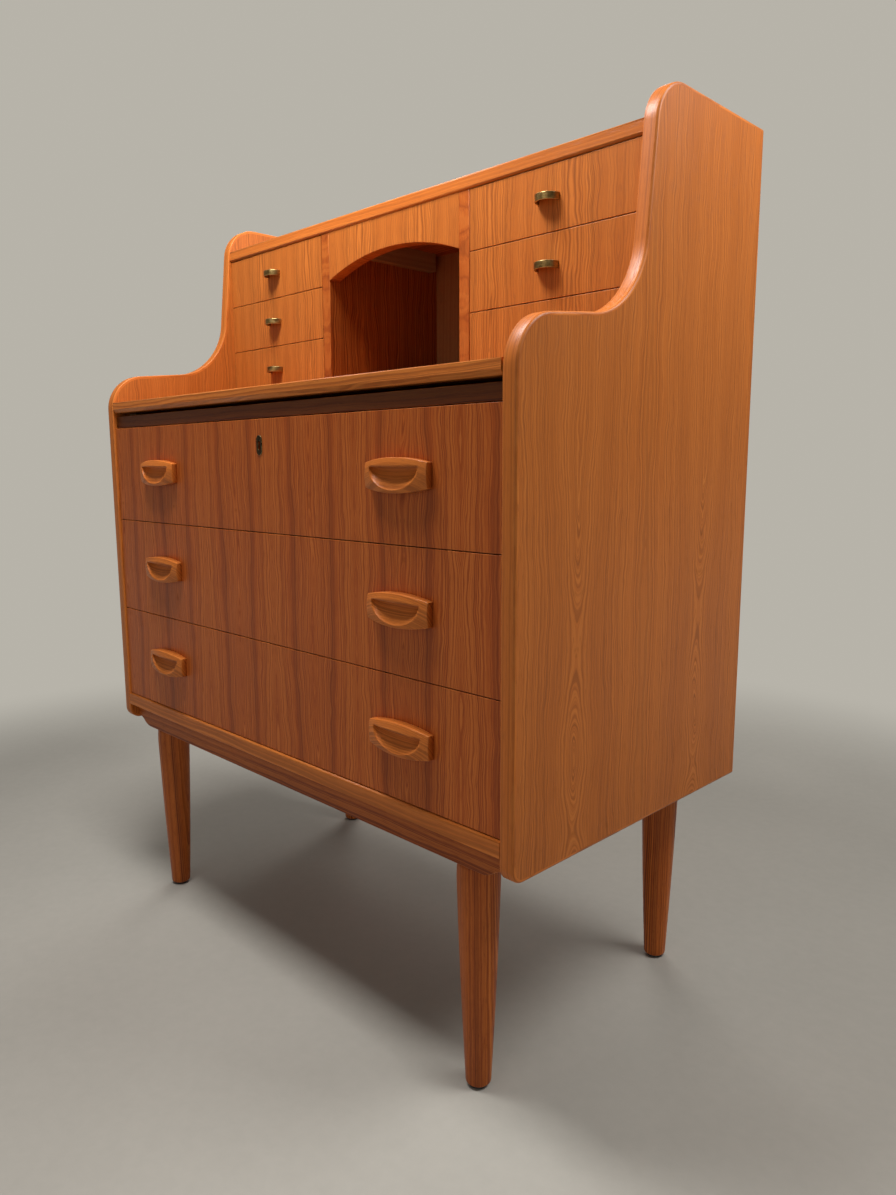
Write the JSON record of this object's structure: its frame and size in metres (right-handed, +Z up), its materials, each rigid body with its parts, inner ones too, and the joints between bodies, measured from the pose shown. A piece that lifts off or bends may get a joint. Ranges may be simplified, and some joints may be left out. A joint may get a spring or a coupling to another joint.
{
  "type": "secretary desk",
  "caption": "Teak secretary desk with a sliding writing leaf, long drawers with carved pulls, and a hutch of small drawers round an arched niche, on turned tapered legs.",
  "frame": {"origin": "on the floor, under the middle of the desk's bounding box", "axes": "+X to the right seen from the front, -Y towards the person who sits at it, +Z up"},
  "size_m": [0.81, 0.4444, 1.042],
  "materials": {
    "teak_veneer": "oiled teak veneer, straight vertical grain with some cathedral figure",
    "teak_solid": "oiled solid teak, rounded edges",
    "drawer_stock": "pale lacquered hardwood drawer sides and plywood bottoms",
    "secondary_wood": "plain waxed hardwood, not seen when closed",
    "back_ply": "stained plywood back",
    "brass": "aged brass with a soft shine",
    "steel": "dull zinc-grey steel",
    "glide": "dark hard glide"
  },
  "bodies": {
    "carcase": {"arch_valance": "teak_veneer", "back_panel": "back_ply", "back_screws": "steel", "base_rail_front": "teak_solid", "base_rail_rear": "teak_solid", "bottom_board": "teak_veneer", "bottom_lipping": "teak_solid", "drawer_runners": "secondary_wood", "foot_glides": "glide", "hutch_floor": "teak_veneer", "hutch_runners": "secondary_wood", "leaf_bearers": "secondary_wood", "leaf_support_rail": "teak_solid", "leg_bearers": "secondary_wood", "leg_bolts": "steel", "leg_front_left": "teak_solid", "leg_front_right": "teak_solid", "leg_rear_left": "teak_solid", "leg_rear_right": "teak_solid", "niche_cleats": "secondary_wood", "niche_wall_left": "teak_veneer", "niche_wall_right": "teak_veneer", "side_panel_left": "teak_veneer", "side_panel_right": "teak_veneer", "top_board": "teak_veneer", "top_lipping": "teak_solid"},
    "writing_leaf": {"leaf_board": "teak_veneer", "leaf_lipping": "teak_solid", "leaf_stops": "secondary_wood"},
    "lock_bolt": {"lock_bolt": "steel"},
    "drawer_bottom": {"drawer_bottom_front": "teak_veneer", "drawer_bottom_box": "drawer_stock", "drawer_bottom_pulls": "teak_solid"},
    "drawer_middle": {"drawer_middle_front": "teak_veneer", "drawer_middle_box": "drawer_stock", "drawer_middle_pulls": "teak_solid"},
    "drawer_top": {"drawer_top_front": "teak_veneer", "drawer_top_box": "drawer_stock", "drawer_top_pulls": "teak_solid", "lock_case": "steel", "escutcheon": "brass"},
    "small_drawer_lower_left": {"small_drawer_lower_left_front": "teak_veneer", "small_drawer_lower_left_box": "drawer_stock", "small_drawer_lower_left_pull": "brass"},
    "small_drawer_lower_right": {"small_drawer_lower_right_front": "teak_veneer", "small_drawer_lower_right_box": "drawer_stock", "small_drawer_lower_right_pull": "brass"},
    "small_drawer_centre_left": {"small_drawer_centre_left_front": "teak_veneer", "small_drawer_centre_left_box": "drawer_stock", "small_drawer_centre_left_pull": "brass"},
    "small_drawer_centre_right": {"small_drawer_centre_right_front": "teak_veneer", "small_drawer_centre_right_box": "drawer_stock", "small_drawer_centre_right_pull": "brass"},
    "small_drawer_upper_left": {"small_drawer_upper_left_front": "teak_veneer", "small_drawer_upper_left_box": "drawer_stock", "small_drawer_upper_left_pull": "brass"},
    "small_drawer_upper_right": {"small_drawer_upper_right_front": "teak_veneer", "small_drawer_upper_right_box": "drawer_stock", "small_drawer_upper_right_pull": "brass"}
  },
  "joints": [
    {"name": "leaf_slide", "type": "slide", "parent": "carcase", "child": "writing_leaf", "axis": [0, -1, 0], "range_m": [0, 0.17]},
    {"name": "drawer_bottom_slide", "type": "slide", "parent": "carcase", "child": "drawer_bottom", "axis": [0, -1, 0], "range_m": [0, 0.3]},
    {"name": "drawer_middle_slide", "type": "slide", "parent": "carcase", "child": "drawer_middle", "axis": [0, -1, 0], "range_m": [0, 0.3]},
    {"name": "drawer_top_slide", "type": "slide", "parent": "carcase", "child": "drawer_top", "axis": [0, -1, 0], "range_m": [0, 0.3]},
    {"name": "small_drawer_lower_left_slide", "type": "slide", "parent": "carcase", "child": "small_drawer_lower_left", "axis": [0, -1, 0], "range_m": [0, 0.14]},
    {"name": "small_drawer_lower_right_slide", "type": "slide", "parent": "carcase", "child": "small_drawer_lower_right", "axis": [0, -1, 0], "range_m": [0, 0.14]},
    {"name": "small_drawer_centre_left_slide", "type": "slide", "parent": "carcase", "child": "small_drawer_centre_left", "axis": [0, -1, 0], "range_m": [0, 0.14]},
    {"name": "small_drawer_centre_right_slide", "type": "slide", "parent": "carcase", "child": "small_drawer_centre_right", "axis": [0, -1, 0], "range_m": [0, 0.14]},
    {"name": "small_drawer_upper_left_slide", "type": "slide", "parent": "carcase", "child": "small_drawer_upper_left", "axis": [0, -1, 0], "range_m": [0, 0.14]},
    {"name": "small_drawer_upper_right_slide", "type": "slide", "parent": "carcase", "child": "small_drawer_upper_right", "axis": [0, -1, 0], "range_m": [0, 0.14]},
    {"name": "lock_bolt_slide", "type": "slide", "parent": "drawer_top", "child": "lock_bolt", "axis": [0, 0, 1], "range_m": [0, 0.0065]}
  ]
}
